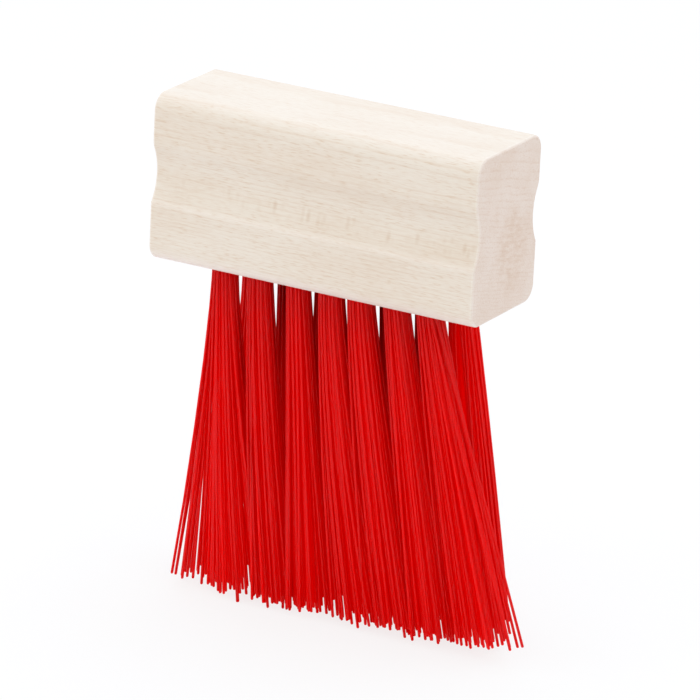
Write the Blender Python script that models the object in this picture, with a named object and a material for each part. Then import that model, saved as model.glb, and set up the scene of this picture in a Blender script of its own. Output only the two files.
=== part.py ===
# Track cleaning brush: a wooden hand block with two rows of bristle tufts.
#
# Each tuft is a bundle of plastic filament folded over a short flat wire, its anchor, and driven into a blind
# hole in the block, where the ends of the anchor bite into the wood. The brush stands on the tips of its
# bristles: +X runs along the block, the front is -Y and +Z is up. Lengths are in metres.

import math

import bmesh
import bpy
import numpy as np
from mathutils import Matrix

MM = 0.001

# Block: a straight hardwood bar with rounded long edges
block_length = 85.0 * MM
block_depth = 30.0 * MM
block_height = 40.0 * MM
long_edge_radius = 4.0 * MM
end_edge_radius = 0.6 * MM

# Finger grip: a shallow hollow run along both long sides, with a soft upper lip and a crisp lower one
grip_centre_height = 21.0 * MM
grip_radius = 12.0 * MM
grip_depth = 2.1 * MM
grip_upper_blend = 6.0 * MM
grip_lower_blend = 1.0 * MM

# Tuft holes: two rows drilled into the underside, by hand, so the drill wandered a little along each row
rows = 2
tufts_per_row = 7
row_spacing = 15.0 * MM
tuft_pitch = 9.0 * MM
row_shift = 1.5 * MM
hole_diameter = 6.6 * MM
hole_depth = 13.5 * MM
drill_point_height = 1.6 * MM
drill_chisel_width = 0.8 * MM
front_wander_shares = (-0.06, -0.02, 0.10, 0.08, -0.07, -0.03, -0.06)
back_wander_shares = (-0.10, -0.08, 0.02, -0.02, -0.05, -0.02, -0.05)

# Anchor: a flat wire on edge across the bundle, which is folded over it
anchor_length = 7.6 * MM
anchor_width = 2.0 * MM
anchor_thickness = 0.5 * MM
anchor_edge_radius = 0.12 * MM
fold_thickness = 1.6 * MM
fold_shoulder = 1.2 * MM
bundle_mouth = 0.5 * MM

# Bristles: how far they stand out of the block, how far their tips spread past their roots, and how level
# the tips were trimmed
bristle_length = 79.0 * MM
strands_per_tuft = 27
strand_radius = 0.38 * MM
strand_inset = 0.1 * MM
strand_bury = 0.5 * MM
splay_left = 8.5 * MM
splay_right_front_row = 26.5 * MM
splay_right_back_row = 13.0 * MM
splay_front_back = 4.0 * MM
tuft_gap_at_tips = 0.6 * MM
tip_unevenness = 3.0 * MM
tip_flat_depth = 0.5 * MM
bend_share = 0.4

# Running gap between pieces that touch on the real brush, and how far a cutter runs past what it cuts
fit_gap = 0.3 * MM
overrun = 1.0 * MM

# Facets
corner_steps = 7
grip_steps = 9
upper_blend_steps = 4
lower_blend_steps = 2
end_edge_steps = 2
hole_sides = 24
bundle_sides = 16
strand_sides = 3
strand_steps = 2
checked_heights = 9

# Where each row's ground is divided between its tufts, from the left end to the right: the first tufts fan out
# over more than an even share of it, so the ones after them lean to the right
front_division_shares = (0.0, 0.22, 0.33, 0.455, 0.59, 0.71, 0.83, 1.0)
back_division_shares = (0.0, 0.19, 0.32, 0.455, 0.595, 0.73, 0.86, 1.0)

# A tuft's tips fill a rounded square, and its strands follow the turn and spacing of a seed head
cell_squareness = 4.0
golden_turn = math.pi * (3.0 - math.sqrt(5.0))
golden_share = (math.sqrt(5.0) - 1.0) / 2.0

# Sizes that follow from the ones above, with the ground at the longest tips
underside = bristle_length
bundle_radius = hole_diameter / 2 - fit_gap
bundle_low = underside - bundle_mouth
bundle_top = underside + hole_depth - fit_gap
anchor_height = bundle_top - fold_thickness - fit_gap - anchor_width / 2
root_zone = bundle_radius * math.cos(math.pi / bundle_sides) - strand_radius - strand_inset
row_reach = (tufts_per_row - 1) / 2 * tuft_pitch + root_zone
tips_side = (rows - 1) / 2 * row_spacing + root_zone + splay_front_back
cell_depth = 2 * tips_side / rows


def clear_scene():
    for old in list(bpy.data.objects):
        bpy.data.objects.remove(old, do_unlink=True)


def make_material(name, colour, roughness, metallic=0.0):
    material = bpy.data.materials.new(name)
    material.use_nodes = True
    shader = material.node_tree.nodes["Principled BSDF"]
    shader.inputs["Base Color"].default_value = (*colour, 1.0)
    shader.inputs["Roughness"].default_value = roughness
    shader.inputs["Metallic"].default_value = metallic
    return material


def add_object(name, bm, parent, material=None, smooth_angle=35.0):
    """Turns the bmesh into a named object, shaded smooth except at its sharp edges."""
    bmesh.ops.recalc_face_normals(bm, faces=bm.faces)
    mesh = bpy.data.meshes.new(name)
    bm.to_mesh(mesh)
    bm.free()
    mesh.shade_smooth()
    mesh.set_sharp_from_angle(angle=math.radians(smooth_angle))
    piece = bpy.data.objects.new(name, mesh)
    bpy.context.collection.objects.link(piece)
    piece.parent = parent
    if material:
        mesh.materials.append(material)
    return piece


def add_cutter(name, bm, parent):
    piece = add_object(name, bm, parent)
    piece.hide_render = True
    piece.display_type = "WIRE"
    return piece


def add_boolean(piece, other, operation):
    modifier = piece.modifiers.new(operation.title(), "BOOLEAN")
    modifier.operation = operation
    modifier.solver = "EXACT"
    modifier.object = other


def arc(centre, radius, start, end, steps):
    """Points on a circle arc from one angle to another, both in radians."""
    angles = [start + (end - start) * step / steps for step in range(steps + 1)]
    return [(centre[0] + radius * math.cos(a), centre[1] + radius * math.sin(a)) for a in angles]


def grip_blend(radius):
    """Height from the grip's centre to a blend's centre, and the angle at which the two arcs meet."""
    across = grip_radius - grip_depth + radius
    height = math.sqrt((grip_radius + radius) ** 2 - across ** 2)
    return height, math.atan2(height, across)


def side_outline():
    """One side of the block's section as (depth, height) points, from the underside up to the top."""
    side = block_depth / 2
    quarter = math.pi / 2
    low_height, low_angle = grip_blend(grip_lower_blend)
    high_height, high_angle = grip_blend(grip_upper_blend)
    low_centre = (side - grip_lower_blend, grip_centre_height - low_height)
    grip_centre = (side + grip_radius - grip_depth, grip_centre_height)
    high_centre = (side - grip_upper_blend, grip_centre_height + high_height)
    bottom_corner = (side - long_edge_radius, long_edge_radius)
    top_corner = (side - long_edge_radius, block_height - long_edge_radius)
    points = arc(bottom_corner, long_edge_radius, -quarter, 0.0, corner_steps)
    points += arc(low_centre, grip_lower_blend, 0.0, low_angle, lower_blend_steps)
    points += arc(grip_centre, grip_radius, math.pi + low_angle, math.pi - high_angle, grip_steps)[1:-1]
    points += arc(high_centre, grip_upper_blend, -high_angle, 0.0, upper_blend_steps)
    points += arc(top_corner, long_edge_radius, 0.0, quarter, corner_steps)
    return points


def tuft_places():
    """Row, number and centre of every tuft hole, measured from the middle of the block."""
    wander_shares = (front_wander_shares, back_wander_shares)
    places = []
    for row in range(rows):
        row_shares = wander_shares[row % len(wander_shares)]
        for number in range(tufts_per_row):
            wander = row_shares[number % len(row_shares)] * tuft_pitch
            x = row_shift + (number - (tufts_per_row - 1) / 2) * tuft_pitch + wander
            y = (row - (rows - 1) / 2) * row_spacing
            places.append((row, number, x, y))
    return places


def tip_cell(row, number):
    """Centre and length of the stretch that one tuft's tips cover along the block."""
    row_splays = (splay_right_front_row, splay_right_back_row)
    row_divisions = (front_division_shares, back_division_shares)
    left = row_shift - row_reach - splay_left
    right = row_shift + row_reach + row_splays[row % len(row_splays)]
    shares = row_divisions[row % len(row_divisions)]
    tufts_before = np.linspace(0.0, tufts_per_row, len(shares))
    start, end = left + (right - left) * np.interp((number, number + 1), tufts_before, shares)
    return (start + end) / 2, end - start


def tuft_name(kind, row, number):
    side = ("front", "back")[row] if rows == 2 else f"row_{row + 1}"
    return f"{kind}_{side}_{number + 1}"


def add_turned(bm, profile, sides, x, y):
    """A solid of revolution about a vertical axis, from (radius, height) pairs listed upwards."""
    rings = []
    for radius, height in profile:
        place = Matrix.Translation((x, y, height))
        rings.append(bmesh.ops.create_circle(bm, segments=sides, radius=radius, matrix=place)["verts"])
    for lower, upper in zip(rings, rings[1:]):
        for side in range(sides):
            after = (side + 1) % sides
            bm.faces.new((lower[side], lower[after], upper[after], upper[side]))
    bm.faces.new(rings[0])
    bm.faces.new(rings[-1])


def add_box(bm, size, centre):
    place = Matrix.Translation(centre) @ Matrix.Diagonal((*size, 1.0))
    bmesh.ops.create_cube(bm, size=1.0, matrix=place)


def build_drills(parent):
    """The holes' cutters: a straight drill with a shallow point and a narrow chisel edge."""
    bm = bmesh.new()
    profile = (
        (hole_diameter / 2, underside - overrun),
        (hole_diameter / 2, underside + hole_depth),
        (drill_chisel_width / 2, underside + hole_depth + drill_point_height),
    )
    for _, _, x, y in tuft_places():
        add_turned(bm, profile, hole_sides, x, y)
    return add_cutter("hole_drills", bm, parent)


def build_anchor_rooms(parent):
    """Room for the anchors, cut alike from the block, where they bite, and from the bundles' folds."""
    bm = bmesh.new()
    size = [side + 2 * fit_gap for side in (anchor_thickness, anchor_length, anchor_width)]
    for _, _, x, y in tuft_places():
        add_box(bm, size, (x, y, anchor_height))
    return add_cutter("anchor_rooms", bm, parent)


def build_block(parent, material, drills, anchor_rooms):
    """The section is extruded along the block, then the edges round its two ends are eased."""
    bm = bmesh.new()
    half = side_outline()
    outline = half + [(-y, z) for y, z in reversed(half)]
    end_face = bm.faces.new([bm.verts.new((-block_length / 2, y, underside + z)) for y, z in outline])
    grown = bmesh.ops.extrude_face_region(bm, geom=[end_face], use_keep_orig=True)
    far_end = [item for item in grown["geom"] if isinstance(item, bmesh.types.BMVert)]
    bmesh.ops.translate(bm, verts=far_end, vec=(block_length, 0.0, 0.0))
    bmesh.ops.recalc_face_normals(bm, faces=bm.faces)
    ends = [face for face in bm.faces if len(face.verts) == len(outline)]
    end_edges = [edge for face in ends for edge in face.edges]
    bmesh.ops.bevel(
        bm, geom=end_edges, offset=end_edge_radius, segments=end_edge_steps, profile=0.5, affect="EDGES"
    )
    block = add_object("handle_block", bm, parent, material)
    add_boolean(block, drills, "DIFFERENCE")
    add_boolean(block, anchor_rooms, "DIFFERENCE")


def build_anchor(parent, material, row, number, x, y):
    bm = bmesh.new()
    add_box(bm, (anchor_thickness, anchor_length, anchor_width), (x, y, anchor_height))
    bmesh.ops.bevel(bm, geom=bm.edges[:], offset=anchor_edge_radius, segments=1, affect="EDGES")
    add_object(tuft_name("anchor", row, number), bm, parent, material)


def strand_axes(row, number, x, y):
    """Centre lines of a tuft's strands, as an array of (strand, ring, xyz).

    The roots lie in a disc, spaced like the seeds of a seed head. A root's place in the disc gives its tip's
    place in the tuft's own cell. The disc widens steadily into the cell on the way down, so no two strands
    cross and no two tufts meet, and part of the spread grows with the square of the way down.
    """
    index = np.arange(strands_per_tuft)
    out_share = np.sqrt((index + 0.5) / strands_per_tuft)
    tuft = row * tufts_per_row + number
    angle = index * golden_turn + tuft
    across, along = np.cos(angle), np.sin(angle)
    square = (np.abs(across) ** cell_squareness + np.abs(along) ** cell_squareness) ** (-1 / cell_squareness)
    margin = tuft_gap_at_tips / 2 + strand_radius
    root_x = x + root_zone * out_share * across
    root_y = y + root_zone * out_share * along
    cell_x, cell_length = tip_cell(row, number)
    cell_y = (row - (rows - 1) / 2) * cell_depth
    tip_x = cell_x + (cell_length / 2 - margin) * out_share * square * across
    tip_y = cell_y + (cell_depth / 2 - margin) * out_share * square * along
    uneven = tip_unevenness * ((index + 1) * (tuft + 1) * golden_share % 1.0) ** 2
    tip_z = np.maximum(uneven - tip_flat_depth, 0.0)
    root_z = bundle_low + strand_bury
    way = np.linspace(0.0, 1.0, strand_steps + 1)
    bend = bend_share * way ** 2 + (1.0 - bend_share) * way
    axes_x = root_x[:, None] + (tip_x - root_x)[:, None] * bend
    axes_y = root_y[:, None] + (tip_y - root_y)[:, None] * bend
    axes_z = root_z + (tip_z - root_z)[:, None] * way
    return np.stack((axes_x, axes_y, axes_z), axis=-1)


def add_strand(bm, axis):
    """A many-sided rod through the points of its axis, closed at both ends."""
    rings = []
    for point in axis:
        place = Matrix.Translation(point)
        ring = bmesh.ops.create_circle(bm, segments=strand_sides, radius=strand_radius, matrix=place)
        rings.append(ring["verts"])
    for upper, lower in zip(rings, rings[1:]):
        for side in range(strand_sides):
            after = (side + 1) % strand_sides
            bm.faces.new((upper[side], upper[after], lower[after], lower[side]))
    bm.faces.new(rings[0])
    bm.faces.new(rings[-1])


def build_tuft(parent, material, anchor_rooms, row, number, x, y):
    """A bundle that fills its hole, folded over its anchor, with the strands that fan out of its mouth."""
    name = tuft_name("tuft", row, number)
    axes = strand_axes(row, number, x, y)
    bm = bmesh.new()
    for axis in axes:
        add_strand(bm, axis)
    strands = add_cutter(f"{name}_strands", bm, parent)
    bm = bmesh.new()
    shoulder = bundle_radius - fold_shoulder
    profile = ((bundle_radius, bundle_low), (bundle_radius, bundle_top - fold_shoulder), (shoulder, bundle_top))
    add_turned(bm, profile, bundle_sides, x, y)
    tuft = add_object(name, bm, parent, material)
    add_boolean(tuft, anchor_rooms, "DIFFERENCE")
    add_boolean(tuft, strands, "UNION")
    return axes


def least_spacing(axes):
    """Smallest distance between two strands' centre lines, measured level at evenly spread heights."""
    heights = np.linspace(underside - bundle_mouth, tip_unevenness, checked_heights)
    least = math.inf
    for height in heights:
        spots = np.empty((len(axes), 2))
        for spot, axis in zip(spots, axes):
            spot[0] = np.interp(-height, -axis[:, 2], axis[:, 0])
            spot[1] = np.interp(-height, -axis[:, 2], axis[:, 1])
        apart = np.linalg.norm(spots[:, None] - spots[None], axis=-1)
        np.fill_diagonal(apart, math.inf)
        least = min(least, apart.min())
    return least


def build_brush():
    clear_scene()
    wood = make_material("hardwood", (0.82, 0.68, 0.52), 0.6)
    filament = make_material("red_filament", (0.70, 0.01, 0.01), 0.35)
    wire = make_material("anchor_wire", (0.60, 0.60, 0.58), 0.35, 1.0)
    brush = bpy.data.objects.new("brush", None)
    bpy.context.collection.objects.link(brush)
    drills = build_drills(brush)
    anchor_rooms = build_anchor_rooms(brush)
    build_block(brush, wood, drills, anchor_rooms)
    axes = []
    for row, number, x, y in tuft_places():
        axes.extend(build_tuft(brush, filament, anchor_rooms, row, number, x, y))
        build_anchor(brush, wire, row, number, x, y)
    reach = [vert.co.x for piece in brush.children for vert in piece.data.vertices]
    brush.location.x = -(min(reach) + max(reach)) / 2
    widest = 2 * strand_radius * math.sin(math.pi / strand_sides)
    clear = least_spacing(np.array(axes)) - widest
    print(f"{len(axes)} strands {widest / MM:.2f} mm wide, at least {clear / MM:.2f} mm apart")


build_brush()
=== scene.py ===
# %% [markdown]
# # Track cleaning brush
# A hand brush with a short beech block and fourteen tufts of long red bristles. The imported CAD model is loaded
# first and stays as it is: it gives the block's box and the place of every hole. Then come the camera, the
# studio, the wooden block, the bristles and the anchors inside it. Lengths are in metres, +X runs along the
# block, the front is -Y and +Z is up, with the longest bristles standing on the floor at height zero.

import math

import bpy
import numpy as np
from mathutils import Matrix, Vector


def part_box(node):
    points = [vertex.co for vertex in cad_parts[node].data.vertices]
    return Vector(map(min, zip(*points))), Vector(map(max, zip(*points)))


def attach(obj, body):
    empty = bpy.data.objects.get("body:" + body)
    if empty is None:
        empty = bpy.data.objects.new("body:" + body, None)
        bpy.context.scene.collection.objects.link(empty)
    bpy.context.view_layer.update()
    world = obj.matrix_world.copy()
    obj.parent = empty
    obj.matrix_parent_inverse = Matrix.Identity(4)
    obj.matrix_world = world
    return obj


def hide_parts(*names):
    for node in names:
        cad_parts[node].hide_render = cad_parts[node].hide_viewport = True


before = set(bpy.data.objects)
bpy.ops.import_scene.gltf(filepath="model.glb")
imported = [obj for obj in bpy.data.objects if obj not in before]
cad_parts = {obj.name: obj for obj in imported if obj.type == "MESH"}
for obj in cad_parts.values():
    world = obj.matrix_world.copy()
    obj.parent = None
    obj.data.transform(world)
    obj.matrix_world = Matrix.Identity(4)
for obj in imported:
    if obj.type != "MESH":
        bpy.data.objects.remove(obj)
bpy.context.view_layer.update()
MM = 0.001
block_low, block_high = (np.array(corner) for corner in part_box("handle_block"))
block_middle = (block_low + block_high) / 2
underside = block_low[2]
print("block in mm:", np.round((block_high - block_low) / MM, 1))
print("its underside is", round(underside / MM, 1), "mm up")

# %% [markdown]
# ## Camera
# The photograph was taken from well away with a long lens, so the block's parallel edges stay almost parallel.
# A camera can be placed by eye, or solved from known points. This one was solved: the block's corners and
# curved outline fix its direction, distance and lens together, and the numbers are kept here. It looks from the
# right of the front, 28.6 degrees round and 18.6 degrees up, and is tilted a little about its own axis.

# %% Place the camera
azimuth, elevation, tilt = (math.radians(a) for a in (28.62, 18.568, 2.839))
distance, aside, above = 1549.55 * MM, 3.181 * MM, -16.116 * MM
lens_length, sensor_width = 346.36, 36.0
near_clip, far_clip = 0.05, 50.0


def placed(axes, place):
    """The 4 x 4 matrix that turns x, y and z to three axes and moves the origin to a place."""
    rows = [(*row, shift) for row, shift in zip(np.stack(axes, 1), place)]
    return Matrix(rows + [(0.0, 0.0, 0.0, 1.0)])


back = np.array([
    math.sin(azimuth) * math.cos(elevation), -math.cos(azimuth) * math.cos(elevation), math.sin(elevation),
])
level = np.array([math.cos(azimuth), math.sin(azimuth), 0.0])
upward = np.cross(back, level)
aim = np.array([block_middle[0], block_middle[1], underside])
eye = aim + back * distance + level * aside + upward * above
right = level * math.cos(tilt) + upward * math.sin(tilt)
top = -level * math.sin(tilt) + upward * math.cos(tilt)

camera = bpy.data.objects.new("camera", bpy.data.cameras.new("camera"))
camera.data.lens, camera.data.sensor_width = lens_length, sensor_width
camera.data.clip_start, camera.data.clip_end = near_clip, far_clip
camera.matrix_world = placed((right, top, back), eye)
bpy.context.scene.collection.objects.link(camera)
bpy.context.scene.camera = camera
print("camera at", np.round(eye, 3), "with a", lens_length, "mm lens")

# %% [markdown]
# ## Helpers for materials
# Colours are written as sRGB hex values, as a colour picker shows them, and one function turns them to the
# linear values that a renderer adds up. One more function adds any shader node: its settings are named
# arguments, and its inputs are numbers, colours or other nodes.

# %% Colour and node helpers
black, pure_white = (0.0, 0.0, 0.0, 1.0), (1.0, 1.0, 1.0, 1.0)
# A Mix node has sockets for numbers, vectors and colours. These are its two colours and the colour it gives.
colour_a, colour_b, colour_out = 6, 7, 2


def linear(hex_colour):
    """sRGB hex to linear RGBA. Each channel c, from 0 to 1, becomes c / 12.92 below 0.04045, and
    ((c + 0.055) / 1.055) ^ 2.4 above it."""
    channels = np.array([int(hex_colour[i:i + 2], 16) for i in (1, 3, 5)]) / 255
    bent = np.where(channels < 0.04045, channels / 12.92, ((channels + 0.055) / 1.055) ** 2.4)
    return (*bent.tolist(), 1.0)


def empty_tree(owner):
    """The node tree of a new material or world, with nothing in it."""
    owner.use_nodes = True
    owner.node_tree.nodes.clear()
    return owner.node_tree


def add_node(tree, kind, inputs=(), **settings):
    """Adds one node. Settings go on the node. A tuple of inputs fills its sockets in order, and a dictionary
    fills the ones it names, with numbers, colours or outputs; another node stands for its own first output."""
    made = tree.nodes.new(kind)
    for name, value in settings.items():
        setattr(made, name, value)
    for socket, value in inputs.items() if isinstance(inputs, dict) else enumerate(inputs):
        value = value.outputs[0] if isinstance(value, bpy.types.Node) else value
        if isinstance(value, bpy.types.NodeSocket):
            tree.links.new(value, made.inputs[socket])
        else:
            made.inputs[socket].default_value = value
    return made


def per_cell(cell):
    """A pattern's scale from the three sides of its cell in metres: 1 / side."""
    return tuple(1 / side for side in cell)


print("a mid grey, #BCBCBC, is", round(linear("#BCBCBC")[0], 3), "in linear light")

# %% [markdown]
# ## Floor and studio light
# The photograph is a cut-out on white, lit softly from all round, with the top of the block brightest. A light
# tent can be built from many lamps, or from a pale world and a few large area lamps. The second is used here:
# the world gives most of the light and keeps the shadows pale. The strongest lamp, a little blue, hangs
# overhead and slightly behind, so the top is the brightest face. A weaker one at the front left shapes the
# grip, and the weakest lights the sawn end at the right. Their strengths put a pale surface at about its own
# colour. The camera, mirrors and clear things see the world as pure white. The floor is a pale sheet that the
# camera sees four fifths white, so only a faint shadow of the brush stays on it.

# %% Make the floor, the world and the lamps
floor_reach = 3.0
paper_colour, paper_white_share = "#EDEDED", 0.8
fill_strength, white_strength = 0.95, 1.0
lamp_aim = (0.0, 0.0, 80 * MM)
nearly_upright = 0.9  # a lamp that hangs straighter than this is lined up with +Y, and the others with +Z
lamps = {  # the place and the side of each lamp in metres, its watts and its colour
    "lamp_overhead": ((-0.10, 0.20, 0.98), 0.70, 4.08, "#D2E4FF"),
    "lamp_front_left": ((-0.85, -0.80, 0.30), 0.40, 1.65, "#FFFFFF"),
    "lamp_right": ((0.90, -0.25, 0.35), 0.60, 0.56, "#FFFFFF"),
}

floor_mesh = bpy.data.meshes.new("floor")
corners = np.array([(-1, -1, 0), (1, -1, 0), (1, 1, 0), (-1, 1, 0)]) * floor_reach
floor_mesh.from_pydata(corners.tolist(), [], [(0, 1, 2, 3)])
floor = bpy.data.objects.new("floor", floor_mesh)
bpy.context.scene.collection.objects.link(floor)

paper = bpy.data.materials.new("matt_white_paper_sweep")
tree = empty_tree(paper)
sheet = add_node(tree, "ShaderNodeBsdfDiffuse", {"Color": linear(paper_colour)})
glow = add_node(tree, "ShaderNodeEmission", {"Color": pure_white, "Strength": white_strength})
seen = add_node(tree, "ShaderNodeLightPath")
share = add_node(tree, "ShaderNodeMath", (seen.outputs["Is Camera Ray"], paper_white_share),
                 operation="MULTIPLY")
mixed = add_node(tree, "ShaderNodeMixShader", (share, sheet, glow))
add_node(tree, "ShaderNodeOutputMaterial", {"Surface": mixed})
floor_mesh.materials.append(paper)

world = bpy.data.worlds.new("light_tent")
tree = empty_tree(world)
fill_light = add_node(tree, "ShaderNodeBackground", {"Color": pure_white, "Strength": fill_strength})
white = add_node(tree, "ShaderNodeBackground", {"Color": pure_white, "Strength": white_strength})
seen = add_node(tree, "ShaderNodeLightPath")
direct = seen.outputs["Is Camera Ray"]
for other in ("Is Glossy Ray", "Is Transmission Ray"):
    direct = add_node(tree, "ShaderNodeMath", (direct, seen.outputs[other]), operation="MAXIMUM")
either = add_node(tree, "ShaderNodeMixShader", (direct, fill_light, white))
add_node(tree, "ShaderNodeOutputWorld", {"Surface": either})
bpy.context.scene.world = world

for name, (place, size, power, tint) in lamps.items():
    light = bpy.data.lights.new(name, "AREA")
    light.size, light.energy, light.color = size, power, linear(tint)[:3]
    lamp = bpy.data.objects.new(name, light)
    out = np.array(place) - lamp_aim
    out /= np.linalg.norm(out)
    guide = (0.0, 1.0, 0.0) if abs(out[2]) > nearly_upright else (0.0, 0.0, 1.0)
    across = np.cross(guide, out)
    across /= np.linalg.norm(across)
    lamp.matrix_world = placed((across, np.cross(out, across), out), place)
    bpy.context.scene.collection.objects.link(lamp)

bpy.context.scene.view_settings.view_transform = "Standard"
print(len(lamps), "lamps with", round(sum(lamp[2] for lamp in lamps.values()), 2), "W in all")

# %% [markdown]
# ## Surfaces from arrays
# Every new piece is worked out as numpy arrays: one of points and one of four-cornered faces. Handing the
# arrays to the mesh in one call is far quicker than adding vertices one by one. A face whose last two corners
# are the same point is a triangle, which is how a row of faces closes on a pole.

# %% Turn arrays into a piece


def make_piece(name, points, quads, material, loops=()):
    """A mesh piece that rides on the brush, from points (n, 3) and quads (m, 4). Loops are many-sided faces."""
    faces = [face[:3] if face[2] == face[3] else face for face in quads.tolist()]
    faces += [list(loop) for loop in loops]
    mesh = bpy.data.meshes.new(name)
    mesh.from_pydata(points.tolist(), [], faces)
    mesh.shade_smooth()
    mesh.materials.append(material)
    piece = bpy.data.objects.new(name, mesh)
    bpy.context.scene.collection.objects.link(piece)
    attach(piece, "root")
    return piece


def write_values(piece, name, values):
    """Writes one number for each point of a piece, as an attribute that its material reads by name."""
    piece.data.attributes.new(name, "FLOAT", "POINT").data.foreach_set("value", values)


def grid_quads(rows, columns):
    """Faces of a grid of points stored row by row, whose columns close into a ring."""
    row, column = np.arange(rows - 1)[:, None], np.arange(columns)[None]
    after = (column + 1) % columns
    corners = [row * columns + column, row * columns + after,
               (row + 1) * columns + after, (row + 1) * columns + column]
    return np.stack(corners, -1).reshape(-1, 4)


print("a ring of 6 points carried through 3 stations has", len(grid_quads(3, 6)), "faces")

# %% [markdown]
# ## The wood
# Brush blocks are made of beech: hard, pale and close-grained. Three things show on planed and sanded beech.
# Growth rings are thin tan lines where they reach the surface. Rays are ribbons of tissue that run outwards
# from the middle of the tree: a ribbon cut across is a short dash along the grain, and one that lies in the
# surface is a taller fleck. Fibres give fine streaks along the length; real ones are hundredths of a millimetre
# wide, and are drawn 0.28 mm wide, as coarse as they need to be to show, in broad patches that are a little
# darker or paler. An image could be laid on, but it wouldn't agree from face to face. Here the pattern is
# solid, as in a tree: it is worked out from the position in the block, so each face cuts through it and shows
# dashes, flecks or lines by itself.
# The block was sawn with the rings tilted 13 degrees, which puts the rays level with the lower part of the
# front grip. That is where the photograph shows flecks, so flecks show only where the surface lies almost level
# with the rays, in the lower part of the board, and the dashes fade there.
# A faint brown streak of heartwood runs along the board inside, and only the sawn ends cut through it.
# Two more marks are painted light. The top, lit most strongly, is painted paler and plainer, its grain washed
# out. A painted highlight lies on the edges that catch the light: the grip's lower edge, the lower long edges
# and the eased ends. An attribute on the block's points marks where it lies.

# %% Colours and sizes of the wood
pale_wood, late_wood, ray_tissue = "#E4DACC", "#CBAA88", "#BC9468"
# The second colour is a painted highlight on edges that catch the light.
end_grain, edge_light_colour = "#FCF7FA", "#FBF5EE"
ring_tilt = math.radians(13.0)
ring_gap_at_top, ring_crowding = 2.9 * MM, 0.011 / MM ** 2
ring_wobble, wobble_cell = 1.2 * MM, (45.0 * MM, 14.0 * MM, 14.0 * MM)
break_cell = (15.0 * MM, 3.0 * MM, 1.0 * MM)
fibre_cell = (2.2 * MM, 0.28 * MM, 0.28 * MM)
ray_cell = (1.5 * MM, 0.50 * MM, 5.0 * MM)
patch_cell, patch_shift = (30.0 * MM, 8.0 * MM, 8.0 * MM), (3.0, 1.0, 2.0)
heart_place, heart_size = (3.0 * MM, -25.0 * MM), (8.5 * MM, 12.0 * MM)
bump_strength, bump_depth = 0.25, 0.03 * MM
# A ring's darkness at shares of its width: it grows slowly to the late wood and then drops to nothing.
ring_darkness = ((0.60, 0.12), (0.90, 1.0))
# Ranges, each as from low, from high, to low, to high: the values of a pattern and what they are turned to.
line_breaks, dash_limits = (0.38, 0.60, 0.15, 1.0), (0.60, 0.74, 0.0, 1.0)
ray_outline, ray_kinds = (0.05, 0.50, 1.0, 0.0), (0.0, 0.9, 0.0, 1.0)
level_enough, low_enough = (0.980, 0.996, 0.0, 1.0), (-16.0 * MM, -12.0 * MM, 1.0, 0.0)
dash_fade, streak_tone = (0.0, 1.0, 1.0, 0.15), (0.75, 1.25, 0.0, 0.23)
heart_edge = (0.0, 0.5, 0.0, 1.0)
# The second range is painted light: faces that look up go up to 0.35 of the way back to the plain pale wood.
facing_end, facing_lit_top = (0.5, 0.9, 0.0, 1.0), (0.6, 0.98, 0.0, 0.35)
sanded_roughness = (0.3, 0.7, 0.50, 0.60)
# How far each pattern takes the pale wood towards its own colour.
heart_share, streak_share, ring_share = 0.30, 1.0, 0.27
# The last share is for the painted edge highlight.
dash_share, ray_share, edge_light_share = 0.36, 0.30, 0.20
print("rings", ring_gap_at_top / MM, "mm apart at the top")
print("rays in cells of", [side / MM for side in ray_cell], "mm")

# %% Sanded beech: rings, fibres and rays
beech = bpy.data.materials.new("beech_planed_and_sanded_unfinished")
tree = empty_tree(beech)
place = add_node(tree, "ShaderNodeTexCoord")
centred = add_node(tree, "ShaderNodeMapping", {
    "Vector": place.outputs["Object"], "Location": (-block_middle[0], 0.0, -block_high[2]),
}, vector_type="POINT")
tilted = add_node(tree, "ShaderNodeMapping", {"Vector": centred, "Rotation": (ring_tilt, 0.0, 0.0)},
                  vector_type="POINT")

slow = add_node(tree, "ShaderNodeMapping", {"Vector": tilted, "Scale": per_cell(wobble_cell)})
wobble = add_node(tree, "ShaderNodeTexNoise", {"Vector": slow, "Scale": 1.0, "Detail": 2.0})
wobble_size = add_node(tree, "ShaderNodeMath", (wobble, 2 * ring_wobble), operation="MULTIPLY")
parts = add_node(tree, "ShaderNodeSeparateXYZ", (tilted,))
depth = add_node(tree, "ShaderNodeMath", (wobble_size, parts.outputs["Z"]), operation="SUBTRACT")
crowded = add_node(tree, "ShaderNodeMath", (depth, ring_crowding, 1 / ring_gap_at_top),
                   operation="MULTIPLY_ADD")
ring_number = add_node(tree, "ShaderNodeMath", (crowded, depth), operation="MULTIPLY")
within_ring = add_node(tree, "ShaderNodeMath", (ring_number,), operation="FRACT")
ring_line = add_node(tree, "ShaderNodeValToRGB", (within_ring,))
ramp = ring_line.color_ramp.elements
ramp[0].color = ramp[1].color = black
for position, grey in ring_darkness:
    ramp.new(position).color = (grey, grey, grey, 1.0)

broken_by = add_node(tree, "ShaderNodeMapping", {"Vector": tilted, "Scale": per_cell(break_cell)})
broken = add_node(tree, "ShaderNodeTexNoise", {"Vector": broken_by, "Scale": 1.0, "Detail": 2.0})
broken_range = add_node(tree, "ShaderNodeMapRange", (broken, *line_breaks))
ring_strength = add_node(tree, "ShaderNodeMath", (ring_line, broken_range), operation="MULTIPLY")

fibres_at = add_node(tree, "ShaderNodeMapping", {"Vector": tilted, "Scale": per_cell(fibre_cell)})
fibres = add_node(tree, "ShaderNodeTexNoise", {"Vector": fibres_at, "Scale": 1.0, "Detail": 1.0})
dashes = add_node(tree, "ShaderNodeMapRange", (fibres, *dash_limits))

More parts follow.
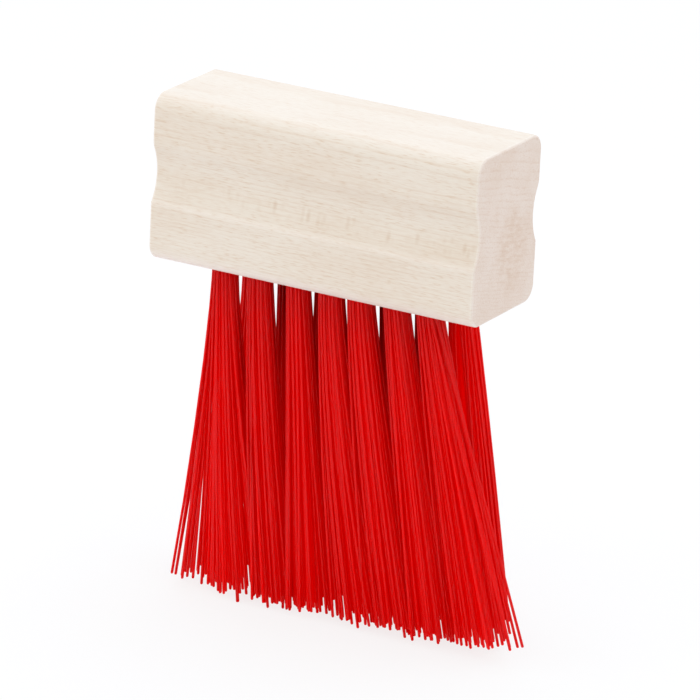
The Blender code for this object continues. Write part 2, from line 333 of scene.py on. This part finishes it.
rays_at = add_node(tree, "ShaderNodeMapping", {"Vector": tilted, "Scale": per_cell(ray_cell)})
rays = add_node(tree, "ShaderNodeTexVoronoi", {"Vector": rays_at, "Scale": 1.0})
ray_shape = add_node(tree, "ShaderNodeMapRange", (rays.outputs["Distance"], *ray_outline))
ray_kind = add_node(tree, "ShaderNodeSeparateColor", (rays.outputs["Color"],))
ray_some = add_node(tree, "ShaderNodeMapRange", (ray_kind, *ray_kinds))
level_with_rays = add_node(tree, "ShaderNodeVectorMath", (
    place.outputs["Normal"], (0.0, -math.cos(ring_tilt), math.sin(ring_tilt)),
), operation="DOT_PRODUCT")
level_size = add_node(tree, "ShaderNodeMath", (level_with_rays.outputs["Value"],), operation="ABSOLUTE")
ray_level = add_node(tree, "ShaderNodeMapRange", (level_size, *level_enough))
within_board = add_node(tree, "ShaderNodeSeparateXYZ", (centred,))
low_in_board = add_node(tree, "ShaderNodeMapRange", (within_board.outputs["Z"], *low_enough))
ray_here = add_node(tree, "ShaderNodeMath", (ray_level, low_in_board), operation="MULTIPLY")
ray_seen = add_node(tree, "ShaderNodeMath", (ray_some, ray_here), operation="MULTIPLY")
ray_strength = add_node(tree, "ShaderNodeMath", (ray_shape, ray_seen), operation="MULTIPLY")
flecked = add_node(tree, "ShaderNodeMapRange", (ray_here, *dash_fade))
plain_dashes = add_node(tree, "ShaderNodeMath", (dashes, flecked), operation="MULTIPLY")
print("rings, fibres and rays take", len(tree.nodes), "nodes")

# %% Sanded beech: streaks, heartwood, wear and the shader
patches_at = add_node(tree, "ShaderNodeMapping", {
    "Vector": tilted, "Scale": per_cell(patch_cell), "Location": patch_shift,
})
patches = add_node(tree, "ShaderNodeTexNoise", {"Vector": patches_at, "Scale": 1.0, "Detail": 2.0})
tone = add_node(tree, "ShaderNodeMath", (fibres, patches), operation="ADD")
streaks = add_node(tree, "ShaderNodeMapRange", (tone, *streak_tone))

heart_at = add_node(tree, "ShaderNodeMapping", {
    "Vector": centred, "Scale": (0.0, 1 / heart_size[0], 1 / heart_size[1]),
    "Location": (0.0, -heart_place[0] / heart_size[0], -heart_place[1] / heart_size[1]),
})
heart = add_node(tree, "ShaderNodeTexGradient", {"Vector": heart_at}, gradient_type="SPHERICAL")
heart_range = add_node(tree, "ShaderNodeMapRange", (heart.outputs["Fac"], *heart_edge))
heart_strength = add_node(tree, "ShaderNodeMath", (heart_range, broken_range), operation="MULTIPLY")

colour = linear(pale_wood)
for pattern, hex_colour, most in (
    (heart_strength, late_wood, heart_share),
    (streaks, late_wood, streak_share),
    (ring_strength, late_wood, ring_share),
    (plain_dashes, late_wood, dash_share),
    (ray_strength, ray_tissue, ray_share),
):
    amount = add_node(tree, "ShaderNodeMath", (pattern, most), operation="MULTIPLY")
    colour = add_node(tree, "ShaderNodeMix", {0: amount, colour_a: colour, colour_b: linear(hex_colour)},
                      data_type="RGBA").outputs[colour_out]

facing = add_node(tree, "ShaderNodeSeparateXYZ", (place.outputs["Normal"],))
across = add_node(tree, "ShaderNodeMath", (facing.outputs["X"],), operation="ABSOLUTE")
sawn = add_node(tree, "ShaderNodeMapRange", (across, *facing_end))
# Painted light: the top is painted paler, and the edges marked on the points get a painted highlight.
lit_top = add_node(tree, "ShaderNodeMapRange", (facing.outputs["Z"], *facing_lit_top))
painted_edge_light = add_node(tree, "ShaderNodeAttribute", attribute_name="painted_edge_light")
edge_lightened = add_node(tree, "ShaderNodeMath", (painted_edge_light.outputs["Fac"], edge_light_share), operation="MULTIPLY")
for amount, hex_colour, blend in (
    (sawn, end_grain, "MULTIPLY"), (lit_top, pale_wood, "MIX"), (edge_lightened, edge_light_colour, "MIX"),
):
    colour = add_node(tree, "ShaderNodeMix", {0: amount, colour_a: colour, colour_b: linear(hex_colour)},
                      data_type="RGBA", blend_type=blend).outputs[colour_out]

height = add_node(tree, "ShaderNodeMath", (fibres, ray_strength), operation="SUBTRACT")
bump = add_node(tree, "ShaderNodeBump", {"Height": height, "Strength": bump_strength, "Distance": bump_depth})
rough = add_node(tree, "ShaderNodeMapRange", (fibres, *sanded_roughness))
wood_shader = add_node(tree, "ShaderNodeBsdfPrincipled", {
    "Base Color": colour, "Roughness": rough, "Normal": bump, "IOR": 1.5, "Specular IOR Level": 0.5,
})
add_node(tree, "ShaderNodeOutputMaterial", {"Surface": wood_shader})
print("the whole of the beech takes", len(tree.nodes), "nodes")

# %% [markdown]
# ## The block
# The block is a bar run through a moulder, which rounds the four long edges and cuts a shallow grip along each
# side, and is then sawn to length, eased at its ends with sandpaper and drilled. It could be a box with bevels,
# but the grip's curves are arcs that meet smoothly, so the section is drawn first, as arcs, and then carried
# along the block. Near each end the section is drawn in along a quarter circle, which is the eased edge.
# The fourteen holes are drilled with a Boolean, from the places that the CAD model's anchors give.

# %% The block's section
block_length, block_depth, block_height = block_high - block_low
edge_radius, edge_steps = 4.0 * MM, 17
grip_height, grip_radius, grip_depth, grip_steps = 21.0 * MM, 12.0 * MM, 2.1 * MM, 33
upper_blend, upper_steps = 6.0 * MM, 13
lower_blend, lower_steps = 1.0 * MM, 7
flat_steps = (2.0 * MM, 1.2 * MM, 0.6 * MM)


def arc(centre, radius, start, end, count):
    """Points centre + radius * (cos a, sin a), with the angle a going evenly from start to end."""
    angle = np.linspace(start, end, count)
    return np.array(centre) + radius * np.stack((np.cos(angle), np.sin(angle)), -1)


def blend_arc(radius):
    """Height from the grip's centre to a blend's centre, by Pythagoras, and the angle where the arcs meet."""
    across = grip_radius - grip_depth + radius
    rise = math.sqrt((grip_radius + radius) ** 2 - across ** 2)
    return rise, math.atan2(rise, across)


side, quarter = block_depth / 2, math.pi / 2
low_rise, low_angle = blend_arc(lower_blend)
high_rise, high_angle = blend_arc(upper_blend)
half_section = np.concatenate((
    arc((side - edge_radius, edge_radius), edge_radius, -quarter, 0.0, edge_steps),
    np.array([(side, grip_height - low_rise - step) for step in flat_steps]),
    arc((side - lower_blend, grip_height - low_rise), lower_blend, 0.0, low_angle, lower_steps),
    arc((side + grip_radius - grip_depth, grip_height), grip_radius, math.pi + low_angle,
        math.pi - high_angle, grip_steps)[1:-1],
    arc((side - upper_blend, grip_height + high_rise), upper_blend, -high_angle, 0.0, upper_steps),
    arc((side - edge_radius, block_height - edge_radius), edge_radius, 0.0, quarter, edge_steps),
))
section = np.concatenate((half_section, half_section[::-1] * (-1.0, 1.0)))
print("the section has", len(section), "points")

# %% Carry the section along the block
eased_radius, ease_steps = 0.6 * MM, 7
# The width of the painted edge highlight, and how much stronger it is on the lower long edges.
edge_light_width, low_edge_light = 0.8 * MM, 2.0


def inward(outline):
    """Unit vectors that point into a closed outline drawn anticlockwise: the directions of the two edges at
    each point, turned left and averaged."""
    edge = np.roll(outline, -1, 0) - outline
    turned = np.stack((-edge[:, 1], edge[:, 0]), -1) / np.linalg.norm(edge, axis=1, keepdims=True)
    both = turned + np.roll(turned, 1, 0)
    return both / np.linalg.norm(both, axis=1, keepdims=True)


ease = np.linspace(0.0, quarter, ease_steps)
near_x, near_in = eased_radius * (1.0 - np.cos(ease)), eased_radius * (1.0 - np.sin(ease))
station_x = block_low[0] + np.concatenate((near_x, block_length - near_x[::-1]))
station_in = np.concatenate((near_in, near_in[::-1]))
drawn_in = section[None] + inward(section)[None] * station_in[:, None, None]
along = np.broadcast_to(station_x[:, None, None], (len(station_x), len(section), 1))
block_points = np.concatenate((along, drawn_in + (0.0, underside)), -1).reshape(-1, 3)
around = np.arange(len(section))
last_ring = (len(station_x) - 1) * len(section)
block = make_piece("beech_block", block_points, grid_quads(len(station_x), len(section)), beech,
                   loops=(around[::-1].tolist(), (last_ring + around).tolist()))
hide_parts("handle_block")

arris_height = grip_height - low_rise + lower_blend * math.sin(low_angle) / 2
# A painted highlight on edges that catch the light: a narrow band at the grip's lower edge, a stronger one on
# the lower long edges, and all of each eased end.
arris = np.exp(-((section[:, 1] - arris_height) / edge_light_width) ** 2)
arris += low_edge_light * np.exp(-((section[:, 1] - edge_light_width) / (2 * edge_light_width)) ** 2)
rim = (station_in > 0.0)[:, None]
# The first and last stations are the rims of the sawn faces, and the painted highlight stops there.
not_sawn = np.ones((len(station_x), 1))
not_sawn[[0, -1]] = 0.0
write_values(block, "painted_edge_light", (np.maximum(arris[None], rim) * not_sawn).ravel())
print("the section is carried through", len(station_x), "stations")

# %% Drill the holes
hole_radius, hole_depth = 3.3 * MM, 13.5 * MM
drill_point, drill_chisel, drill_overrun, drill_sides = 1.6 * MM, 0.4 * MM, 1.0 * MM, 48
tufts_in_row = 7
sharp_angle = math.radians(30.0)

holes = {}
for row in ("front", "back"):
    for number in range(1, tufts_in_row + 1):
        low, high = (np.array(corner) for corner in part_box(f"anchor_{row}_{number}"))
        holes[row, number] = (low + high) / 2
profile = np.array([
    (hole_radius, -drill_overrun), (hole_radius, hole_depth), (drill_chisel, hole_depth + drill_point),
])
turn = np.linspace(0.0, 2 * math.pi, drill_sides, endpoint=False)
ring = np.stack((np.cos(turn), np.sin(turn)), -1)
heights = np.broadcast_to(profile[:, None, 1:], (len(profile), drill_sides, 1))
drill = np.concatenate((profile[:, None, :1] * ring[None], heights), -1).reshape(-1, 3)
centres = np.array(list(holes.values())) * (1.0, 1.0, 0.0) + (0.0, 0.0, underside)
drill_points = (drill[None] + centres[:, None]).reshape(-1, 3)
starts = np.arange(len(centres)) * len(drill)
drill_quads = (grid_quads(len(profile), drill_sides)[None] + starts[:, None, None]).reshape(-1, 4)
bottom = np.arange(drill_sides)
ends = [(start + bottom[::-1]).tolist() for start in starts]
ends += [(start + len(drill) - drill_sides + bottom).tolist() for start in starts]
drills = make_piece("drills", drill_points, drill_quads, beech, loops=ends)

cut = block.modifiers.new("holes", "BOOLEAN")
cut.operation, cut.solver, cut.object = "DIFFERENCE", "EXACT", drills
drilled = bpy.data.meshes.new_from_object(block.evaluated_get(bpy.context.evaluated_depsgraph_get()))
block.modifiers.clear()
block.data = drilled
bpy.data.objects.remove(drills)
drilled.shade_smooth()
drilled.set_sharp_from_angle(angle=sharp_angle)
block.modifiers.new("flat faces shade flat", "WEIGHTED_NORMAL").keep_sharp = True
print("block:", len(drilled.polygons), "faces,", len(centres), "holes", 2 * hole_radius / MM, "mm wide")

# %% [markdown]
# ## The filament
# The bristles are round plastic filament, extruded through a die and drawn: a smooth, slightly see-through red
# with a soft shine along each length. Light that enters one filament wanders on through its neighbours and
# comes out red, so a tuft looks lit from within, and only the narrow gaps between the rows, close under the
# block, go dark. A renderer follows light for a few bounces only, so a little red emission stands in for the
# rest. Three attributes are written with the points. Shade makes some filaments a little darker than others,
# buried says how near a filament lies to the heart of its tuft, where it glows more, and sheltered marks the
# places between the rows and close under the block, where painted shade darkens the red and the glow is
# weaker. At the open right end of the back row, which light reaches from the side and from behind, the outer
# filaments glow like inner ones.

# %% Red filament
filament_red, glow_red = "#C30101", "#FF0000"
see_through, red_goes_further = 1.2 * MM, (1.0, 0.2, 0.2)  # green and blue go a fifth as far as red
surface_glow, core_glow = 0.115, 0.285
# Where sheltered, painted shade darkens the red to this share.
painted_shade_tone = 0.74

plastic = bpy.data.materials.new("polypropylene_filament_extruded_and_drawn")
tree = empty_tree(plastic)
shade, sheltered, buried = (
    add_node(tree, "ShaderNodeAttribute", attribute_name=name).outputs["Fac"]
    for name in ("shade", "sheltered", "buried")
)
# Sheltered and buried go from 0 to 1, more counts as 1, and each range says what 0 and 1 are turned to.
open_air = add_node(tree, "ShaderNodeMapRange", (sheltered, 0.0, 1.0, 1.0, 0.0))
# Painted shade: where sheltered, the red is darkened down to the sheltered tone.
painted_shade = add_node(tree, "ShaderNodeMapRange", (sheltered, 0.0, 1.0, 1.0, painted_shade_tone))
tone = add_node(tree, "ShaderNodeMath", (shade, painted_shade), operation="MULTIPLY")
red = add_node(tree, "ShaderNodeMix", {0: tone, colour_a: black, colour_b: linear(filament_red)},
               data_type="RGBA")
wandered = add_node(tree, "ShaderNodeMapRange", (buried, 0.0, 1.0, surface_glow, core_glow))
glow = add_node(tree, "ShaderNodeMath", (wandered, open_air), operation="MULTIPLY")
gloss = add_node(tree, "ShaderNodeBsdfPrincipled", {
    "Base Color": red.outputs[colour_out], "Roughness": 0.40, "IOR": 1.49, "Specular IOR Level": 0.20,
    "Subsurface Weight": 1.0, "Subsurface Radius": red_goes_further, "Subsurface Scale": see_through,
    "Emission Color": linear(glow_red), "Emission Strength": glow,
})
add_node(tree, "ShaderNodeOutputMaterial", {"Surface": gloss})
print("filament colour", filament_red)

# %% [markdown]
# ## How a tuft is made
# A machine takes a bundle of filaments twice as long as the bristles, folds it in half over a short flat wire
# and punches it into its hole. Each filament is therefore a long narrow U: two legs that hang down and a fold
# over the wire. Hair particles could fill the tuft, but they are only lines, with no fold and no ends. Here
# each filament is a tube carried along its own path. The roots lie in the hole like the seeds of a seed head,
# the right half mirrored to the left across the wire. The legs stay packed at the mouth of the hole and fan out
# on the way down, and a little chance in where they end lets them cross, as they do in the photograph.
# A bundle doesn't quite fill its hole. How wide each one is, by its number in the row, was read from the tufts
# and the slits between them just under the block.

# %% Roots and paths
legs_per_tuft = 78
filament_radius, tube_sides = 0.355 * MM, 5
bundle_radii = (3.20, 3.05, 3.00, 3.20, 3.29, 3.24, 3.29)  # in millimetres, from left to right
way = np.array([0.0, 0.04, 0.13, 0.30, 0.52, 0.76, 1.0])  # the shares of the way down where a leg has a ring
wire_low, wire_high = (np.array(corner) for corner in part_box("anchor_front_1"))
wire_half, wire_top = (wire_high[0] - wire_low[0]) / 2, wire_high[2]
# Tips stray within their cell: most a little, a share of them more. The spreads are in half cells.
close_spread, stray_spread, stray_share = 0.055, 0.32, 0.16
# A few legs are longer or shorter than the trim, and all vary a little. These are in millimetres.
long_share, long_by = 0.07, (0.6, 3.0)
short_share, short_by = 0.05, (0.3, 1.2)
trim_length, trim_spread = 77.3 * MM, 0.30
splayed_share = 0.6
bow_size, tip_gap = 0.15 * MM, 0.2 * MM
loose_shares = np.array((1.0, 0.88, 0.74, 0.60, 0.50, 0.40, 0.30, 0.20, 0.12, 0.05))


def half_disc(count):
    """count places on the right half of a disc of radius 1. Seed i of n lies sqrt((i + 1/2) / n) from the
    middle, turned by the golden angle, 137.5 degrees, from the one before. There are twice as many seeds as
    places, and the half with the largest x is kept."""
    seed = np.arange(2 * count)
    out, angle = np.sqrt((seed + 0.5) / (2 * count)), seed * math.pi * (3.0 - math.sqrt(5.0))
    spots = out[:, None] * np.stack((np.cos(angle), np.sin(angle)), -1)
    return spots[np.argsort(-spots[:, 0], kind="stable")[:count]]


def leg_paths(spots, seeds, root, bundle, cell, slant, bends, reach, outer_bend, chance):
    """Points down each leg, (leg, step, xyz). At share t of the way down, a leg has moved t ^ bend of the way
    from its root to its tip, plus a slight bow of sin(pi t) ^ 2. Its tip lies in the cell where its seed lies
    in the disc, stretched to a rounded square by length / fourth-power length, with some chance added. Slant
    leans the cell: near tips go right and far ones left. Reach draws the legs nearest the outer front corner
    further out, by falling shares, and gives them the outer bend. A leg ends where its length, trimmed while it
    hung straight, runs out: its drop is sqrt(length ^ 2 - splayed share * sideways distance ^ 2)."""
    count = len(spots)
    square = (np.abs(seeds) ** 4).sum(1, keepdims=True) ** 0.25
    fuller = seeds * (np.linalg.norm(seeds, axis=1, keepdims=True) / square)
    stray = np.where(chance.random((count, 1)) < stray_share, stray_spread, close_spread)
    fuller = np.clip(fuller + chance.normal(0.0, 1.0, (count, 2)) * stray, -1.0, 1.0)
    tip = (cell[0] + cell[1]) / 2 + fuller * (cell[1] - cell[0]) / 2
    tip[:, 0] -= slant * fuller[:, 1] * (cell[1, 1] - cell[0, 1]) / 2
    bend = bends[0] + (bends[1] - bends[0]) * (fuller[:, :1] + 1.0) / 2
    if reach:
        corner = np.argsort(tip[:, 1] - np.sign(reach) * tip[:, 0], kind="stable")[:len(loose_shares)]
        tip[corner, 0] += reach * loose_shares
        bend[corner, 0] += (outer_bend - bend[corner, 0]) * loose_shares
    longer = np.where(chance.random(count) < long_share, chance.uniform(*long_by, count), 0.0)
    shorter = np.where(chance.random(count) < short_share, chance.uniform(*short_by, count), 0.0)
    length = trim_length + (longer - shorter + chance.normal(0.0, trim_spread, count)) * MM
    drop = np.sqrt(length ** 2 - splayed_share * ((tip - root[:2]) ** 2).sum(1))
    drop = np.minimum(drop, underside - tip_gap)
    bow = chance.normal(0.0, bow_size, (count, 1, 2)) * (np.sin(math.pi * way) ** 2)[None, :, None]
    start = root[:2] + spots[:, None] * (bundle - filament_radius)
    flat = start + (tip[:, None] - start) * (way ** bend)[..., None] + bow
    down = underside - drop[:, None] * way[None]
    return np.concatenate((flat, down[..., None]), -1)


print(len(way), "steps down each leg")
print("the wire's top is", round((wire_top - underside) / MM, 2), "mm up the hole")

# %% Fold two legs over the wire
fold_rise, fold_steps = 0.42, 3
# A tube's end, in radii: its last ring stands out and is narrower, and its pole stands out further.
dome_ring, dome_width, dome_pole = 0.6, 0.75, 0.9


def folded_paths(root, bundle, cell, slant, bends, reach, outer_bend, chance):
    """Whole filaments, (filament, step, xyz): up the left leg, over the wire, down the right one. Over the wire
    the path is half an ellipse, x = w cos a and z = wire top + h sin a, with w and h larger for the outer ones.
    Also how deep each is buried, 1 - (its distance from the tuft's middle) ^ 2."""
    seeds = half_disc(legs_per_tuft // 2)
    keep_off = filament_radius / (bundle - filament_radius)
    spots = np.stack((keep_off + seeds[:, 0] * (1.0 - keep_off), seeds[:, 1]), -1)
    legs = [leg_paths(spots * (sign, 1.0), seeds * (sign, 1.0), root, bundle, cell, slant, bends,
                      reach if reach * sign > 0 else 0.0, outer_bend, chance) for sign in (-1.0, 1.0)]
    clear = wire_half + filament_radius
    wide = clear + spots[:, 0] * (bundle - filament_radius - clear)
    angle = np.linspace(math.pi, 0.0, fold_steps)
    over_x = root[0] + wide[:, None] * np.cos(angle)[None]
    over_y = np.broadcast_to((root[1] + spots[:, 1] * (bundle - filament_radius))[:, None], over_x.shape)
    over_z = wire_top + (filament_radius + fold_rise * wide)[:, None] * np.sin(angle)[None]
    over = np.stack((over_x, over_y, over_z), -1)
    return np.concatenate((legs[0][:, ::-1], over, legs[1]), 1), 1.0 - (spots ** 2).sum(1)


def tubes(paths, radius, sides):
    """Round tubes along paths (tube, step, xyz), with domed ends. A ring's point at angle b is
    path + r (A cos b + B sin b), where A is square to the path and to the Y axis, B is square to the path and
    to A, and r shrinks at the domes."""
    first, last = paths[:, 0], paths[:, -1]
    out_first, out_last = first - paths[:, 1], last - paths[:, -2]
    out_first /= np.linalg.norm(out_first, axis=1, keepdims=True)
    out_last /= np.linalg.norm(out_last, axis=1, keepdims=True)
    rings = np.concatenate(((first + out_first * dome_ring * radius)[:, None], paths,
                            (last + out_last * dome_ring * radius)[:, None]), 1)
    count, steps = rings.shape[:2]
    tangent = np.gradient(rings, axis=1)
    tangent /= np.linalg.norm(tangent, axis=2, keepdims=True)
    a = np.cross(tangent, (0.0, 1.0, 0.0))
    a /= np.linalg.norm(a, axis=2, keepdims=True)
    b = np.cross(tangent, a)
    size = np.full(steps, radius)
    size[[0, -1]] = dome_width * radius
    turn = np.linspace(0.0, 2 * math.pi, sides, endpoint=False)
    wall = rings[:, :, None] + size[None, :, None, None] * (
        np.cos(turn)[None, None, :, None] * a[:, :, None] + np.sin(turn)[None, None, :, None] * b[:, :, None])
    poles = np.stack((first + out_first * dome_pole * radius, last + out_last * dome_pole * radius), 1)
    points = np.concatenate((wall.reshape(count, -1, 3), poles), 1)
    low, high = np.arange(sides), (steps - 1) * sides + np.arange(sides)
    pole_low, pole_high = np.full(sides, steps * sides), np.full(sides, steps * sides + 1)
    cap_low = np.stack((np.roll(low, -1), low, pole_low, pole_low), -1)
    cap_high = np.stack((high, np.roll(high, -1), pole_high, pole_high), -1)
    one = np.concatenate((grid_quads(steps, sides), cap_low, cap_high))
    quads = (one[None] + (np.arange(count) * points.shape[1])[:, None, None]).reshape(-1, 4)
    return points.reshape(-1, 3), quads


print("a folded filament has", (2 * len(way) + fold_steps + 2 + 1) * tube_sides, "faces")

# %% [markdown]
# ## Where the tips lie
# Left alone, a tuft would fan out evenly, but this brush has been used or packed with its bristles to one side:
# the photograph shows each tuft leaning a little further right than the one before. So each tuft has its own
# cell on the ground, given by the left and right limits of its tips along the block, and the fans overlap as in
# the photograph. Each fan also has two bends, one for its left edge and one for its right, with the legs
# between blended: a bend of 1 splays straight from the hole and a larger one bends late, low down. The front
# row's fans were read from the photograph, and so were the edges of the back row that show in the slits and at
# both ends; the rest of the back row is hidden and follows the front row. A few legs at the two outer corners
# of the front row have come loose and reach further out.

# %% Where each fan lies, and where it is sheltered
fans = {  # for each tuft, the left and right limits of its tips in millimetres, and its left and right bends
    "front": (
        (-33.8, -11.0, 1.25, 1.25), (-14.5, -4.0, 1.70, 1.08), (-5.7, 6.5, 1.00, 1.12), (8.5, 22.5, 1.40, 1.33),
        (17.0, 29.5, 1.30, 1.12), (26.5, 39.0, 1.10, 1.05), (36.3, 52.4, 1.15, 1.00),
    ),
    "back": (
        (-38.0, -15.0, 1.80, 1.60), (-18.0, -5.0, 1.30, 1.40), (-8.0, 6.0, 1.20, 1.32), (6.0, 20.0, 1.15, 1.30),
        (13.0, 28.0, 1.15, 1.30), (21.0, 36.0, 1.10, 1.15), (29.5, 45.0, 1.30, 0.95),
    ),
}
tip_depths = {"front": (-13.8 * MM, -0.2 * MM), "back": (0.2 * MM, 13.8 * MM)}
loose_legs = {("front", 1): (-4.0 * MM, 1.50), ("front", 7): (5.6 * MM, 1.00)}  # their reach and their bend
last_slant = 0.45
darkest_shade = 0.89
shelter_depth = 27.0 * MM
row_edge, row_fade = 9.5 * MM, 3.5 * MM
end_edge, end_fade = 27.0 * MM, 6.0 * MM
root_shelter, root_depth = 0.37, 9.0 * MM
open_edge, open_fade, open_low, open_glow = 24.0 * MM, 6.0 * MM, 40.0 * MM, 0.36


def light_at(points):
    """How sheltered each point is and how much light the open right end of the back row adds to it. With d the
    depth under the block, shelter is the larger of exp(-(d / shelter depth) ^ 2) between the rows and
    exp(-(d / root depth) ^ 2) times a share at the roots, and fades evenly towards the open sides. The light
    of the open end is full down to half of open low, and gone at open low."""
    from_middle = points[:, 0] - block_middle[0]
    below = np.maximum(underside - points[:, 2], 0.0)
    open_end = np.clip((from_middle - open_edge) / open_fade, 0.0, 1.0)
    open_end *= np.clip(points[:, 1] / open_fade, 0.0, 1.0)
    between = np.clip((row_edge - np.abs(points[:, 1])) / row_fade, 0.0, 1.0)
    among = np.clip((end_edge - np.abs(from_middle)) / end_fade, 0.0, 1.0)
    near_root = root_shelter * (1.0 - open_end) * np.exp(-(below / root_depth) ** 2)
    sheltered = np.maximum(between * among * np.exp(-(below / shelter_depth) ** 2), near_root)
    return sheltered, open_glow * open_end * np.clip(2.0 * (1.0 - below / open_low), 0.0, 1.0)


print("the front row's cells reach from", fans["front"][0][0], "to", fans["front"][-1][1], "mm from the middle")

# %% Make the fourteen tufts
first_seed, middle_tuft = 400, (tufts_in_row + 1) // 2
total = 0
for index, ((row, number), root) in enumerate(holes.items()):
    chance = np.random.default_rng(first_seed + index)
    near, far = tip_depths[row]
    left_limit, right_limit, *bends = fans[row][number - 1]
    cell = np.array([(left_limit * MM, near), (right_limit * MM, far)]) + (block_middle[0], 0.0)
    slant = last_slant * abs(number - middle_tuft) / (middle_tuft - 1)
    reach, outer_bend = loose_legs.get((row, number), (0.0, 1.0))
    bundle = bundle_radii[number - 1] * MM
    paths, depths = folded_paths(root, bundle, cell, slant, bends, reach, outer_bend, chance)
    points, quads = tubes(paths, filament_radius, tube_sides)
    tuft = make_piece(f"bristles_{row}_{number}", points, quads, plastic)
    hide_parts(f"tuft_{row}_{number}")
    shelter, side_light = light_at(points)
    points_each = len(points) // len(paths)
    write_values(tuft, "shade", np.repeat(chance.uniform(darkest_shade, 1.0, len(paths)), points_each))
    write_values(tuft, "buried", np.repeat(depths, points_each) + side_light)
    write_values(tuft, "sheltered", shelter)
    total += len(paths)
print(total, "folded filaments,", 2 * total, "bristles")

# %% [markdown]
# ## The anchors
# The wires that hold the tufts can't be seen from outside, but they are there: short lengths of flat steel
# wire, drawn through a die, which leaves fine lines along them. They are right as the CAD model has them, so
# they stay and get only a finish. No view shows it, so its lines keep their real width.

# %% Drawn steel wire
wire_grey = "#C4C1BA"
line_cell = (0.05 * MM, 4.0 * MM, 0.05 * MM)
line_strength, line_depth = 0.3, 0.01 * MM
drawn_roughness = (0.3, 0.7, 0.25, 0.42)

steel = bpy.data.materials.new("steel_wire_drawn_flat")
tree = empty_tree(steel)
place = add_node(tree, "ShaderNodeTexCoord")
drawn = add_node(tree, "ShaderNodeMapping", {"Vector": place.outputs["Object"], "Scale": per_cell(line_cell)})
lines = add_node(tree, "ShaderNodeTexNoise", {"Vector": drawn, "Scale": 1.0, "Detail": 2.0})
rough = add_node(tree, "ShaderNodeMapRange", (lines, *drawn_roughness))
bump = add_node(tree, "ShaderNodeBump", {"Height": lines, "Strength": line_strength, "Distance": line_depth})
metal = add_node(tree, "ShaderNodeBsdfPrincipled", {
    "Base Color": linear(wire_grey), "Metallic": 1.0, "Roughness": rough, "Normal": bump,
})
add_node(tree, "ShaderNodeOutputMaterial", {"Surface": metal})
anchors = [node for name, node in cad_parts.items() if name.startswith("anchor")]
for anchor in anchors:
    anchor.data.materials.clear()
    anchor.data.materials.append(steel)
print("steel on", len(anchors), "anchors")
